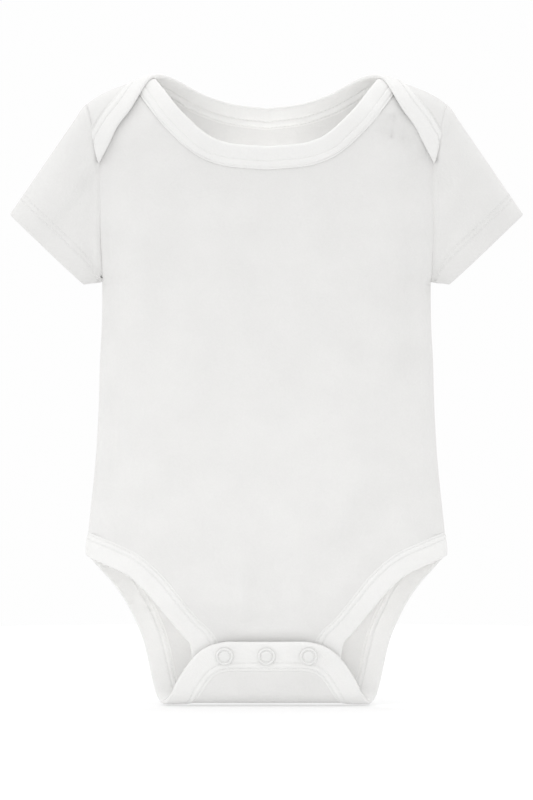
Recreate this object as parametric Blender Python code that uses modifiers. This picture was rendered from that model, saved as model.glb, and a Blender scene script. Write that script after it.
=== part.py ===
"""A baby's short-sleeved bodysuit with lapped shoulders and a snapped crotch, filled out and hollow.

Units are metres, +Z is up and the front faces -Y. Left and right are the wearer's, so left is at +X.
The origin is where a wearer holds the garment up: midway between its two neck points, under the cloth.
Sizes in the tables are heights above the fold of the crotch, and half widths from the centre line.
Every cloth piece is a slab of cloth, a grid with an outer and an inner face, laid on one body surface.
"""

import math

import bmesh
import bpy
from mathutils import Vector

GARMENT = "baby_onesie"

# Cloth and seams
CLOTH = 0.0012          # one layer of interlock knit
BAND_PROUD = 0.0007     # a folded binding stands proud of the cloth by this on each face
SEAM_GAP = 0.0003       # between neighbouring pieces
SIDE_GAP = 0.0002       # from the side seam's plane to each panel
SLEEVE_GAP = 0.0006     # between armhole and sleeve
NECK_BAND = 0.0138
LEG_BAND = 0.0150
FLAP_SIDE_BAND = 0.0168
FLAP_TOP_BAND = 0.0185
HEM_DEPTH = 0.0130
HEM_CLOTH = 0.0022

# Heights above the fold
HELD_HEIGHT = 0.4000    # under the shoulder cloth, where the wearer holds it
CHEST_TOP = 0.3560      # the shoulders start to round over here
SHOULDER_ARC = 0.0356   # path length for each radian over the shoulder
UNDERARM = 0.2694
HIP_CORNER = 0.1090
FOLD_RADIUS = 0.0090
FOLD_ARC = FOLD_RADIUS * math.pi
FLAP_TOP = 0.0220       # cut edge of the flap, inside its binding
SQUARED_BELOW = 0.0534  # the front's leg bands are squared off from here down to the placket
BAND_END_RISE = 0.0085  # the part of their finished edge that is squared off rises by this
PLACKET_TOP = 0.0350
PLACKET_END = 0.0166
PLACKET_HALF_WIDTH = 0.0461
SHOULDER_POINT = 0.3808

# How far the front lies below the outer layer, and how softly it comes back out
UNDER_LAP = 0.0047
LAP_EASE = (0.004, 0.030)
UNDER_FLAP = 0.0063
FLAP_EASE = (0.044, 0.078)
LAP_EDGE_X, LAP_EDGE_HEIGHT = 0.0736, 0.3987    # a point on the left lap's finished edge
OFF_LAP_X, OFF_LAP_UP = -0.853, -0.521          # the way from that edge over the open chest
LAP_OVER_SEAM = (0.338, 0.352)                  # heights where the lap comes over the sleeve's seam

PANEL_COLUMNS = 26
HALF_TURN = math.pi / 2

# height, half width of the body's outline; above the underarm it is the sleeve seam
OUTLINE = (
    (0.0000, 0.1150), (0.0953, 0.1150), (0.1100, 0.1140), (0.1235, 0.1127), (0.1440, 0.1105),
    (0.1645, 0.1088), (0.1900, 0.1075), (0.2208, 0.1066), (0.2413, 0.1056), (0.2600, 0.1053),
    (0.2694, 0.1053), (0.3085, 0.1062), (0.3232, 0.1060), (0.3411, 0.1068), (0.3558, 0.1098),
    (0.3686, 0.1133), (0.3808, 0.1172),
)
# height, depth of the front from the side seams' plane
FRONT_DEPTH = (
    (0.009, 0.0090), (0.030, 0.0125), (0.060, 0.0185), (0.0934, 0.0240), (0.130, 0.0275),
    (0.190, 0.0295), (0.250, 0.0285), (0.300, 0.0265), (0.340, 0.0248), (0.400, 0.0240),
)
# height, depth of the back
BACK_DEPTH = (
    (0.009, 0.0090), (0.030, 0.0140), (0.060, 0.0215), (0.0934, 0.0275), (0.130, 0.0300),
    (0.190, 0.0290), (0.250, 0.0272), (0.300, 0.0258), (0.340, 0.0248), (0.400, 0.0240),
)
# height, depth of the armhole at the sleeve seam
ARMHOLE_DEPTH = (
    (0.0000, 0.0000), (0.2694, 0.0000), (0.2725, 0.0060), (0.2780, 0.0100), (0.2900, 0.0145),
    (0.3100, 0.0175), (0.3350, 0.0190), (0.4000, 0.0190),
)
# half width, height of the shoulder ridge
RIDGE = (
    (0.000, 0.4022), (0.060, 0.4022), (0.070, 0.4018), (0.080, 0.3998), (0.0893, 0.3962),
    (0.1021, 0.3912), (0.1110, 0.3862), (0.1172, 0.3812),
)
# height, how boxy the chest's section is: the part of its depth that is left at the armholes
BOXINESS = ((0.150, 0.0), (0.230, 0.20), (0.290, 0.62), (0.330, 0.76), (0.400, 0.78))
# half width, degrees over the shoulder, of the back's cut edge along neck and lap
BACK_EDGE = (
    (0.0000, 16.7), (0.0216, 20.0), (0.0436, 29.2), (0.0562, 39.4), (0.0674, 53.0), (0.0756, 67.0),
    (0.0842, 87.0), (0.0904, 107.7), (0.0972, 128.5), (0.1050, 146.0), (0.1129, 170.0),
)
# half width, degrees over the shoulder, of the point where the lap's finished edge meets the sleeve
LAP_TIP = (0.1063, 199.0)
SHORT_OF_SLEEVE = 0.95  # a lap's binding keeps this part of the turn, so the sleeve's seam clears it
FRONT_TIP = 0.0722      # half width of the front's finished edge, under the lap on the ridge
# half width, degrees over the shoulder, of the front's cut edge along neck and shoulder end
FRONT_EDGE = (
    (0.0000, -25.4), (0.0235, -22.4), (0.0390, -15.1), (0.0561, 3.9), (0.0688, 21.3),
    (0.0782, 42.8), (0.0832, 63.0), (0.0868, 90.0), (0.1300, 90.0),
)
# height, half width of the front's cut edge from placket to hip
FRONT_LEG = (
    (0.0350, 0.0308), (0.0400, 0.0322), (0.0450, 0.0352), (0.0534, 0.0435), (0.0650, 0.0525),
    (0.0813, 0.0652), (0.0954, 0.0816), (0.1031, 0.0984), (0.1068, 0.1080), (0.1090, 0.1141),
)
# height, half width of the back's cut edge from fold to hip
BACK_LEG = (
    (0.0090, 0.0565), (0.0160, 0.0585), (0.0415, 0.0647), (0.0604, 0.0726), (0.0746, 0.0806),
    (0.0885, 0.0914), (0.0985, 0.1010), (0.1050, 0.1080), (0.1090, 0.1141),
)
# height, half width of the flap's cut edge, up the front from the fold
FLAP_EDGE = (
    (0.0090, 0.0410), (0.0135, 0.0382), (0.0175, 0.0348), (0.0205, 0.0305), (0.0220, 0.0240),
)
FOLD_HALF_WIDTH = 0.0500

# Sleeve: the cuff is an upright oval ring, its tip up and out
CUFF_CENTRE = Vector((0.1397, 0.0, 0.2909))
CUFF_LONG_WAY = Vector((0.722, 0.0, 0.692))
CUFF_HALF_LENGTH = 0.0316
CUFF_HALF_DEPTH = 0.0140
CUFF_SQUARENESS = 2.3
SLEEVE_SWELL = 0.0020
SLEEVE_SIDE_ROWS = 14   # rows from underarm to shoulder on each side
SLEEVE_CROWDING = 0.75  # how far those rows crowd towards the underarm and the shoulder
PLAIN_SHARE = 0.98      # the plain cloth's last ring lies just short of the hem's step

# Snaps
SNAP_HEIGHT = 0.0311
SNAP_SPACING = 0.0267
SNAP_RADIUS = 0.00576
SNAP_STEPS = 18
BACKING_RADIUS = 0.0048
BACKING_THICKNESS = 0.0013
# radius, height of the cap's disc, groove and ring, from the top of the disc outwards and down
SNAP_PROFILE = (
    (0.0, 0.0015), (0.0033, 0.0014), (0.0036, 0.0010), (0.0041, 0.0010), (0.0046, 0.0016),
    (0.0054, 0.0015), (0.00576, 0.0005), (0.0052, 0.0), (0.0, 0.0),
)


def along(table, at):
    """Value of a two-column table at a place, on a smooth curve through its rows."""
    if at <= table[0][0]:
        return table[0][1]
    if at >= table[-1][0]:
        return table[-1][1]
    index = next(i for i in range(1, len(table)) if at <= table[i][0])
    (left, low), (right, high) = table[index - 1], table[index]
    slope = (high - low) / (right - left)

    def gentle(neighbour_slope):
        if slope * neighbour_slope <= 0:
            return 0.0
        return 2 * slope * neighbour_slope / (slope + neighbour_slope)

    start = end = slope
    if index > 1:
        before = table[index - 2]
        start = gentle((low - before[1]) / (left - before[0]))
    if index < len(table) - 1:
        after = table[index + 1]
        end = gentle((after[1] - high) / (after[0] - right))
    width = right - left
    step = (at - left) / width
    return (
        low * (1 + 2 * step) * (1 - step) ** 2
        + width * start * step * (1 - step) ** 2
        + high * step ** 2 * (3 - 2 * step)
        + width * end * step ** 2 * (step - 1)
    )


def eased(low, high, at):
    """0 below low and 1 above high, smooth between them."""
    step = min(max((at - low) / (high - low), 0.0), 1.0)
    return step * step * (3 - 2 * step)


def fullness(share, height, depth):
    """Depth at a share of the half width, as part of the depth on the centre line."""
    box = along(BOXINESS, height)
    rounding = 1 / (2.2 - 1.2 * eased(0.0, 0.8, box))
    crown = box + (1 - box) * max(0.0, 1 - abs(share) ** 2.6) ** rounding
    return crown - (box - along(ARMHOLE_DEPTH, height) / depth) * abs(share) ** 10


def body(side, turn, climb):
    """Point of the body's outer surface.

    side is -1 for the front and 1 for the back. turn is -1 to 1 across, from seam to seam.
    climb is a height up to the chest's top, and a path length from there, over the shoulder and down
    the other side. On the back a climb below the fold's radius goes round the fold and up the flap.
    """
    share = math.sin(turn * HALF_TURN)
    over = (climb - CHEST_TOP) / SHOULDER_ARC
    if 0 < over < math.pi:
        edge_height = CHEST_TOP + (SHOULDER_POINT - CHEST_TOP) * math.sin(over)
        x = along(OUTLINE, edge_height) * share
        depth = along(FRONT_DEPTH, CHEST_TOP)
        y = side * (SIDE_GAP + depth * fullness(share, CHEST_TOP, depth) * math.cos(over))
        return Vector((x, y, CHEST_TOP + (along(RIDGE, abs(x)) - CHEST_TOP) * math.sin(over)))
    if over >= math.pi:
        side, climb = -side, 2 * CHEST_TOP + math.pi * SHOULDER_ARC - climb
    if climb < FOLD_RADIUS and side > 0:
        round_fold = (FOLD_RADIUS - climb) / FOLD_RADIUS
        if round_fold < math.pi:
            x = along(OUTLINE, 0.0) * share
            depth = FOLD_RADIUS * fullness(share, FOLD_RADIUS, FOLD_RADIUS)
            sunk = FOLD_RADIUS * (1 - math.sin(round_fold))
            return Vector((x, (SIDE_GAP + depth) * math.cos(round_fold), sunk))
        side, climb = -1, FOLD_RADIUS - FOLD_ARC + FOLD_RADIUS - climb
    depth = along(FRONT_DEPTH if side < 0 else BACK_DEPTH, climb)
    x = along(OUTLINE, climb) * share
    return Vector((x, side * (SIDE_GAP + depth * fullness(share, climb, depth)), climb))


def outward(surface, turn, climb, side):
    """Unit normal of a surface that takes turn and climb."""
    step, rise = 0.004, 0.0006
    across = surface(min(turn + step, 1.0), climb) - surface(max(turn - step, -1.0), climb)
    upward = surface(turn, climb + rise) - surface(turn, climb - rise)
    normal = across.cross(upward).normalized()
    return normal if side < 0 else -normal


def back(turn, climb):
    return body(1, turn, climb)


def front_inset(point):
    """How far the front lies under the laps and under the flap."""
    from_lap = (abs(point.x) - LAP_EDGE_X) * OFF_LAP_X + (point.z - LAP_EDGE_HEIGHT) * OFF_LAP_UP
    lap = UNDER_LAP * (1 - eased(*LAP_EASE, from_lap))
    flap = UNDER_FLAP * (1 - eased(*FLAP_EASE, point.z))
    return lap + flap


def front(turn, climb):
    def outer(side_turn, side_climb):
        return body(-1, side_turn, side_climb)

    point = outer(turn, climb)
    return point - outward(outer, turn, climb, -1) * front_inset(point)


def climb_at(degrees):
    return CHEST_TOP + SHOULDER_ARC * math.radians(degrees)


def top_edge(table, side, turn):
    """Climb at which a column of the front or back reaches its neck or shoulder edge."""
    low, high = -30.0, 215.0
    for _ in range(30):
        middle = (low + high) / 2
        if along(table, abs(body(side, turn, climb_at(middle)).x)) > middle:
            low = middle
        else:
            high = middle
    return climb_at(low)


def turn_of(height, half_width):
    """The turn that puts a point of the body at a half width."""
    return math.asin(min(1.0, half_width / along(OUTLINE, height))) / HALF_TURN


def back_half_width(climb):
    """Half width of the back's cut edge below the hip, round the fold and up the flap."""
    if climb >= FOLD_RADIUS:
        return along(BACK_LEG, climb)
    below = FOLD_RADIUS - climb
    if below > FOLD_ARC:
        return along(FLAP_EDGE, FOLD_RADIUS + below - FOLD_ARC)
    ends = ((0.0, BACK_LEG[0][1]), (FOLD_ARC / 2, FOLD_HALF_WIDTH), (FOLD_ARC, FLAP_EDGE[0][1]))
    return along(ends, below)


def back_turn(climb):
    if climb >= HIP_CORNER:
        return 1.0
    return turn_of(min(max(climb, 0.0), HIP_CORNER), back_half_width(climb))


def front_turn(climb):
    if climb >= HIP_CORNER:
        return 1.0
    return turn_of(climb, along(FRONT_LEG, climb))


FLAP_START = FOLD_RADIUS - FOLD_ARC - (FLAP_TOP - FOLD_RADIUS)


def spread(low, high, steps):
    return [low + (high - low) * step / steps for step in range(steps + 1)]


def from_underarm(top, steps):
    """Climbs from the underarm up, close together at first, where the armhole opens."""
    return [UNDERARM + (top - UNDERARM) * (step / steps) ** 1.5 for step in range(steps + 1)]


BACK_ROWS = (
    spread(FLAP_START, FLAP_START + 0.0045, 3)[:-1]
    + spread(FLAP_START + 0.0045, FOLD_RADIUS - FOLD_ARC, 2)[:-1]
    + spread(FOLD_RADIUS - FOLD_ARC, FOLD_RADIUS, 7)[:-1]
    + spread(FOLD_RADIUS, 0.0746, 5)[:-1]
    + spread(0.0746, HIP_CORNER, 5)[:-1]
    + spread(HIP_CORNER, UNDERARM, 5)[:-1]
    + from_underarm(0.3450, 6)
)
FRONT_ROWS = (
    spread(PLACKET_TOP, SQUARED_BELOW, 3)[:-1]
    + spread(SQUARED_BELOW, 0.0954, 4)[:-1]
    + spread(0.0954, HIP_CORNER, 4)[:-1]
    + spread(HIP_CORNER, UNDERARM, 5)[:-1]
    + from_underarm(0.3300, 5)
)
BACK_UPPER_ROWS = 11
FRONT_UPPER_ROWS = 9


def slab(columns, rows, place, ring=False):
    """Mesh of a sheet of cloth with two faces. place(column, row, inside) puts each corner."""
    bm = bmesh.new()
    bmesh.ops.create_grid(bm, x_segments=columns, y_segments=rows, size=1.0)
    copied = bmesh.ops.extrude_face_region(bm, geom=bm.faces[:], use_keep_orig=True)
    for vert in (item for item in copied["geom"] if isinstance(item, bmesh.types.BMVert)):
        vert.co.z = -1.0
    if ring:
        ends = [f for f in bm.faces if all(abs(v.co.x) > 0.999 for v in f.verts)]
        bmesh.ops.delete(bm, geom=ends, context="FACES")
    for vert in bm.verts:
        u = (vert.co.x + 1) / 2 * columns
        v = (vert.co.y + 1) / 2 * rows
        point = place(round(u), round(v), vert.co.z < -0.5)
        vert.co = point - Vector((0.0, 0.0, HELD_HEIGHT))
    if ring:
        bmesh.ops.remove_doubles(bm, verts=bm.verts[:], dist=1e-6)
    bmesh.ops.recalc_face_normals(bm, faces=bm.faces[:])
    if bm.calc_volume(signed=True) < 0:
        bmesh.ops.reverse_faces(bm, faces=bm.faces[:])
    mesh = bpy.data.meshes.new("cloth")
    bm.to_mesh(mesh)
    bm.free()
    mesh.shade_smooth()
    return mesh


def cotton(name, colour, roughness=0.9):
    material = bpy.data.materials.new(name)
    material.use_nodes = True
    shader = material.node_tree.nodes["Principled BSDF"]
    shader.inputs["Base Color"].default_value = (*colour, 1.0)
    shader.inputs["Roughness"].default_value = roughness
    shader.inputs["Metallic"].default_value = 0.0
    return material


def add_piece(name, mesh, material):
    mesh.name = name
    mesh.materials.append(material)
    piece = bpy.data.objects.new(name, mesh)
    bpy.data.collections[GARMENT].objects.link(piece)
    return piece


def column_turn(turn, edge):
    """Turn of a column in a row whose edge is at a given turn. The outer columns crowd together."""
    crowding = min(0.6 * edge / (1.0001 - edge), 8.0)
    return turn * (1 - (1 - edge) * abs(turn) ** crowding)


def panel(name, surface, side, rows, upper_rows, edge_table, edge_turn, material):
    """A body panel: level rows up to the chest, then rows that rise to its neck and shoulders."""
    tops = panel_tops(edge_table, side)

    def place(column, row, inside):
        turn = 2 * column / PANEL_COLUMNS - 1
        if row < len(rows):
            climb = rows[row]
            turn = column_turn(turn, edge_turn(climb))
        else:
            share = (row - len(rows) + 1) / upper_rows
            climb = rows[-1] + (tops[column] - rows[-1]) * share
        point = surface(turn, climb)
        if not inside:
            return point
        normal = outward(surface, turn, climb, side)
        if abs(turn) > 0.999 and normal.x * turn < 0:
            normal.x = 0.0
        return point - normal.normalized() * CLOTH

    mesh = slab(PANEL_COLUMNS, len(rows) - 1 + upper_rows, place)
    return add_piece(name, mesh, material)


def panel_tops(edge_table, side):
    """Climb of the neck or shoulder edge at each column."""
    return [top_edge(edge_table, side, turn) for turn in spread(-1.0, 1.0, PANEL_COLUMNS)]


def front_panel(material):
    panel(
        "front_panel", front, -1, FRONT_ROWS, FRONT_UPPER_ROWS, FRONT_EDGE, front_turn, material
    )


def back_panel(material):
    panel("back_panel", back, 1, BACK_ROWS, BACK_UPPER_ROWS, BACK_EDGE, back_turn, material)


def armhole(side, climb):
    """Sleeve seam on one side of the wearer's left armhole, on whichever layer is outermost there."""
    point = body(side, 1.0, climb)
    if side < 0:
        under = front(1.0, min(climb, LAP_OVER_SEAM[1]))
        point = under.lerp(point, eased(*LAP_OVER_SEAM, climb))
    return point + Vector((SLEEVE_GAP, 0.0, 0.0))


def sleeve_point(place_round, share):
    """Point of the left sleeve, from armhole to cuff. place_round counts from the shoulder's top."""
    count = SLEEVE_SIDE_ROWS
    place_round %= 2 * count
    side = -1 if place_round <= count else 1
    down = place_round if side < 0 else 2 * count - place_round
    top = climb_at(90)
    share_up = (count - down) / count
    even = share_up - SLEEVE_CROWDING * math.sin(2 * math.pi * share_up) / (2 * math.pi)
    climb = UNDERARM + (top - UNDERARM) * even
    start = armhole(side, climb)
    angle = math.pi * down / count
    power = 2 / CUFF_SQUARENESS
    long_way = math.copysign(abs(math.cos(angle)) ** power, math.cos(angle))
    deep = side * abs(math.sin(angle)) ** power
    end = CUFF_CENTRE + CUFF_LONG_WAY * CUFF_HALF_LENGTH * long_way
    end += Vector((0.0, CUFF_HALF_DEPTH * deep, 0.0))
    swell = Vector((0.0, side * SLEEVE_SWELL * math.sin(angle), 0.0))
    return start.lerp(end, share) + swell * math.sin(math.pi * share)


def sleeve(name, mirror, material):
    count = 2 * SLEEVE_SIDE_ROWS
    plain_rows, hem_rows = 4, 2

    def hem_start(place_round):
        length = (sleeve_point(place_round, 1.0) - sleeve_point(place_round, 0.0)).length
        return max(0.35, 1 - HEM_DEPTH / length)

    def place(column, row, inside):
        hem = hem_start(column)
        if row <= plain_rows:
            share = hem * row / plain_rows * PLAIN_SHARE
        else:
            share = hem + (1 - hem) * (row - plain_rows - 1) / hem_rows
        point = sleeve_point(column, share)
        if inside:
            step = 0.02
            outward_way = sleeve_point(column, min(share + step, 1.0))
            outward_way = outward_way - sleeve_point(column, max(share - step, 0.0))
            ring_way = sleeve_point(column + 1, share) - sleeve_point(column - 1, share)
            normal = ring_way.cross(outward_way)
            if row == 0:
                normal.x = 0.0
            thick = CLOTH if row <= plain_rows else HEM_CLOTH
            point = point + normal.normalized() * thick
        return Vector((point.x * mirror, point.y, point.z))

    mesh = slab(count, plain_rows + 1 + hem_rows, place, ring=True)
    add_piece(name, mesh, material)


def offset_place(place, inward, width):
    """The place at a distance from an edge place, straight out from the cloth's cut edge."""
    side, turn, climb = place
    surface = body_surface(side)
    target = surface(turn, climb) - inward * width
    for _ in range(6):
        step, rise = 1e-3, 1e-4
        ahead = min(turn + step, 1.0)
        behind = max(ahead - 2 * step, -1.0)
        across = (surface(ahead, climb) - surface(behind, climb)) / (ahead - behind)
        upward = (surface(turn, climb + rise) - surface(turn, climb - rise)) / (2 * rise)
        miss = target - surface(turn, climb)
        aa, au, uu = across.dot(across), across.dot(upward), upward.dot(upward)
        am, um = across.dot(miss), upward.dot(miss)
        scale = aa * uu - au * au
        turn = min(max(turn + (am * uu - um * au) / scale, -1.0), 1.0)
        climb += (um * aa - am * au) / scale
    return side, turn, climb


def body_surface(side):
    return front if side < 0 else back


def outward_places(places, widths, flip):
    """The finished edge of a binding, opposite each place of the cut edge that it covers."""
    points = [body_surface(side)(turn, climb) for side, turn, climb in places]
    last = len(places) - 1
    outer = []
    for index, (side, turn, climb) in enumerate(places):
        tangent = points[min(index + 1, last)] - points[max(index - 1, 0)]
        normal = outward(body_surface(side), turn, climb, side)
        inward = (normal.cross(tangent) * (-1 if flip else 1)).normalized()
        outer.append(offset_place(places[index], inward, widths[index]))
    return outer


def binding(name, inner, outer, material):
    """A folded strip on a cut edge, taken as one band from the cut edge to the finished edge."""
    shares = (None, 0.5, 0.9, 1.0)

    def place(column, row, inside):
        side, turn, climb = inner[row]
        surface = body_surface(side)
        share = shares[column]
        if share is None:
            width = (surface(turn, climb) - surface(*outer[row][1:])).length
            share = SEAM_GAP / width
        turn += (outer[row][1] - turn) * share
        climb += (outer[row][2] - climb) * share
        proud = 0.0 if column == len(shares) - 1 else BAND_PROUD
        normal = outward(surface, turn, climb, side)
        return surface(turn, climb) + normal * (-CLOTH - proud if inside else proud)

    mesh = slab(len(shares) - 1, len(inner) - 1, place)
    add_piece(name, mesh, material)


def neck_binding_front(material):
    """Along the front's neck, its ends under the laps on the shoulders' ridge."""
    turns = spread(-1.0, 1.0, PANEL_COLUMNS)
    tops = panel_tops(FRONT_EDGE, -1)
    ridge = climb_at(90)
    below_ridge = [index for index, top in enumerate(tops) if top < ridge - 1e-5]
    first, last = below_ridge[0] - 1, below_ridge[-1] + 1
    inner = [(-1, turns[index], tops[index]) for index in range(first, last + 1)]
    outer = outward_places(inner, [NECK_BAND] * len(inner), flip=True)
    tip = turn_of(SHOULDER_POINT, FRONT_TIP)
    outer[0], outer[-1] = (-1, -tip, ridge), (-1, tip, ridge)
    binding("neck_binding_front", inner, outer, material)


def neck_binding_back(material):
    """Along the back's neck and on down both laps, narrowing to nothing where the sleeve cuts it."""
    turns = spread(-1.0, 1.0, PANEL_COLUMNS)
    tops = panel_tops(BACK_EDGE, 1)
    inner = [(1, turn, top) for turn, top in zip(turns, tops)][1:-1]
    outer = outward_places(inner, [NECK_BAND] * len(inner), flip=False)
    share = (SHORT_OF_SLEEVE - turns[-2]) / (turns[-1] - turns[-2])
    seam_climb = tops[-2] + (tops[-1] - tops[-2]) * share
    start_x = back(*outer[-1][1:]).x
    tip_x, tip_climb = LAP_TIP[0], climb_at(LAP_TIP[1])
    tip_width = 0.0015
    steps = 5
    tail_inner, tail_outer = [], []
    for step in range(steps):
        climb = seam_climb + (tip_climb - tip_width - seam_climb) * step / (steps - 1)
        tail_inner.append((1, SHORT_OF_SLEEVE, climb))
        share = (step + 1) / steps
        climb = outer[-1][2] + (tip_climb - outer[-1][2]) * share
        half_width = start_x + (tip_x - start_x) * share
        height = min(CHEST_TOP, 2 * CHEST_TOP + math.pi * SHOULDER_ARC - climb)
        tail_outer.append((1, min(turn_of(height, half_width), SHORT_OF_SLEEVE), climb))

    def mirrored(places):
        return [(side, -turn, climb) for side, turn, climb in reversed(places)]

    inner = mirrored(tail_inner) + inner + tail_inner
    outer = mirrored(tail_outer) + outer + tail_outer
    binding("neck_binding_back", inner, outer, material)


def leg_places():
    """The left leg's cut edge: up the front to the hip, down the back, round the fold, up the flap."""
    front_side = [(-1, front_turn(c), c) for c in FRONT_ROWS if c < HIP_CORNER - 1e-6]
    back_side = [(1, back_turn(c), c) for c in reversed(BACK_ROWS) if c <= HIP_CORNER + 1e-6]
    return front_side + back_side


def leg_widths(places):
    widths = []
    for side, turn, climb in places:
        flap = 1 - eased(FOLD_RADIUS - FOLD_ARC, FOLD_RADIUS, climb) if side > 0 else 0.0
        top = 1 - eased(FLAP_START, FLAP_START + 0.006, climb) if side > 0 else 0.0
        width = LEG_BAND + (FLAP_SIDE_BAND - LEG_BAND) * flap
        widths.append(width + (FLAP_TOP_BAND - FLAP_SIDE_BAND) * top)
    return widths


def leg_pairs():
    """Inner and outer places of the leg's binding, squared off above the placket."""
    inner = leg_places()
    outer = outward_places(inner, leg_widths(inner), flip=False)
    for index, (side, turn, climb) in enumerate(inner):
        if side < 0 and climb < SQUARED_BELOW - 1e-6:
            share = (climb - PLACKET_TOP) / (SQUARED_BELOW - PLACKET_TOP)
            height = PLACKET_TOP + BAND_END_RISE * share
            half_width = PLACKET_HALF_WIDTH + (height - PLACKET_TOP)
            outer[index] = (-1, turn_of(height, half_width), height)
    return inner, outer


FLAP_JOIN = 2           # the leg's binding ends this many rows below the flap's cut edge
JOIN_GAP = 0.16         # and the flap's starts this part of a row further on


def leg_binding(name, mirror, material):
    inner, outer = leg_pairs()
    inner = [(side, mirror * turn, climb) for side, turn, climb in inner[:-FLAP_JOIN]]
    outer = [(side, mirror * turn, climb) for side, turn, climb in outer[:-FLAP_JOIN]]
    binding(name, inner, outer, material)


def flap_binding(material):
    """Up one side of the flap, over its top and down the other side."""
    inner = [(1, back_turn(climb), climb) for climb in reversed(BACK_ROWS[:FLAP_JOIN + 1])]
    top_edge_turn = inner[-1][1]
    for turn in spread(1.0, -1.0, PANEL_COLUMNS)[1:-1]:
        inner.append((1, column_turn(turn, top_edge_turn), FLAP_START))
    inner += [(1, -back_turn(climb), climb) for climb in BACK_ROWS[:FLAP_JOIN + 1]]
    outer = outward_places(inner, leg_widths(inner), flip=False)
    for end, neighbour in ((0, 1), (-1, -2)):
        for edge in (inner, outer):
            side, turn, climb = edge[end]
            _, next_turn, next_climb = edge[neighbour]
            ahead = (next_turn - turn) * JOIN_GAP, (next_climb - climb) * JOIN_GAP
            edge[end] = (side, turn + ahead[0], climb + ahead[1])
    binding("flap_binding", inner, outer, material)


def placket_binding(material):
    """The end of the front, under the flap, which carries the studs."""
    inner, outer = [], []
    for half_width in spread(-PLACKET_HALF_WIDTH, PLACKET_HALF_WIDTH, 14):
        turn = math.copysign(turn_of(PLACKET_TOP, abs(half_width)), half_width)
        inner.append((-1, turn, PLACKET_TOP - SEAM_GAP))
        outer.append((-1, turn, PLACKET_END))
    binding("placket_binding", inner, outer, material)


def turned(name, profile, place, normal, material):
    """A turned piece, its axis along a normal of the cloth."""
    mesh = bpy.data.meshes.new(name)
    edges = [(i, i + 1) for i in range(len(profile) - 1)]
    mesh.from_pydata([(radius, 0.0, height) for radius, height in profile], edges, [])
    piece = add_piece(name, mesh, material)
    screw = piece.modifiers.new("turn", "SCREW")
    screw.axis = "Z"
    screw.steps = screw.render_steps = SNAP_STEPS
    screw.use_merge_vertices = True
    screw.merge_threshold = 1e-6
    piece.location = place - Vector((0.0, 0.0, HELD_HEIGHT))
    piece.rotation_euler = normal.to_track_quat("Z", "Y").to_euler()


def snaps(material):
    """Three closed snaps: a cap outside the flap, a socket inside it and a stud on the placket."""
    backing = ((0.0, BACKING_THICKNESS), (BACKING_RADIUS, BACKING_THICKNESS))
    backing += ((BACKING_RADIUS, 0.0), (0.0, 0.0))
    outside = BAND_PROUD + SEAM_GAP
    for number, x in enumerate((-SNAP_SPACING, 0.0, SNAP_SPACING), 1):
        turn = math.copysign(turn_of(SNAP_HEIGHT, abs(x)), x)
        climb = FOLD_RADIUS - FOLD_ARC - (SNAP_HEIGHT - FOLD_RADIUS)
        point = back(turn, climb)
        normal = outward(back, turn, climb, 1)
        socket = -CLOTH - outside - BACKING_THICKNESS
        stud = socket - SEAM_GAP - BACKING_THICKNESS
        turned(f"snap_cap_{number}", SNAP_PROFILE, point + normal * outside, normal, material)
        turned(f"snap_socket_{number}", backing, point + normal * socket, normal, material)
        turned(f"snap_stud_{number}", backing, point + normal * stud, normal, material)


def build():
    for old in list(bpy.data.objects):
        bpy.data.objects.remove(old)
    garment = bpy.data.collections.new(GARMENT)
    bpy.context.scene.collection.children.link(garment)
    knit = cotton("interlock_knit", (0.86, 0.86, 0.84))
    tape = cotton("binding_knit", (0.88, 0.88, 0.86))
    plastic = cotton("snap_plastic", (0.90, 0.90, 0.89), roughness=0.35)
    front_panel(knit)
    back_panel(knit)
    sleeve("sleeve_left", 1, knit)
    sleeve("sleeve_right", -1, knit)
    neck_binding_front(tape)
    neck_binding_back(tape)
    leg_binding("leg_binding_left", 1, tape)
    leg_binding("leg_binding_right", -1, tape)
    flap_binding(tape)
    placket_binding(tape)
    snaps(plastic)


build()
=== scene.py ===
"""A baby's short-sleeved bodysuit of white interlock knit, filled out and hollow, above a white floor.

Lengths are metres. Heights in the tables are above the fold of the crotch, and half widths are from the
centre line. Left and right are the wearer's, so left is at +X, and the front faces -Y.
"""

import math

import bmesh
import bpy
import numpy as np
from mathutils import Matrix, Vector


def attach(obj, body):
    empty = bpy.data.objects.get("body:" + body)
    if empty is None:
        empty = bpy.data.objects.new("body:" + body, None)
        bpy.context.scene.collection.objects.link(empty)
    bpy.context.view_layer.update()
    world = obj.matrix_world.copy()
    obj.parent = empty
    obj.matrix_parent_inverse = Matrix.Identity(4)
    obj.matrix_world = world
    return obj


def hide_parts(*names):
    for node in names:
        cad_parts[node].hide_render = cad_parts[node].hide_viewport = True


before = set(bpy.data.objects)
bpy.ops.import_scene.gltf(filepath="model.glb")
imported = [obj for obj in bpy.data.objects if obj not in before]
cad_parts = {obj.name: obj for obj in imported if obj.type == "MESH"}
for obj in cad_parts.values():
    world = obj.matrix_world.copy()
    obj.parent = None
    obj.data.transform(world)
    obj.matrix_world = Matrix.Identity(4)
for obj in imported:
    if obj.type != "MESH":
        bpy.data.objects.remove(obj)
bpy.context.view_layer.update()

# ---------------------------------------------------------------------------------------------------
# Front. One layer of interlock cotton from the crotch to the shoulders, where it passes under the laps.
# The cloth keeps the form of a small trunk, rounded at the hips and flatter over the chest.
# ---------------------------------------------------------------------------------------------------
CLOTH = 0.0012
SIDE_GAP = 0.0001
HELD_HEIGHT = 0.4000
CHEST_TOP = 0.3560
SHOULDER_ARC = 0.0356
SHOULDER_POINT = 0.3808
UNDERARM = 0.2694
HIP_CORNER = 0.1090
FOLD_RADIUS = 0.0090
FOLD_ARC = FOLD_RADIUS * math.pi
PLACKET_TOP = 0.0350
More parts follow.
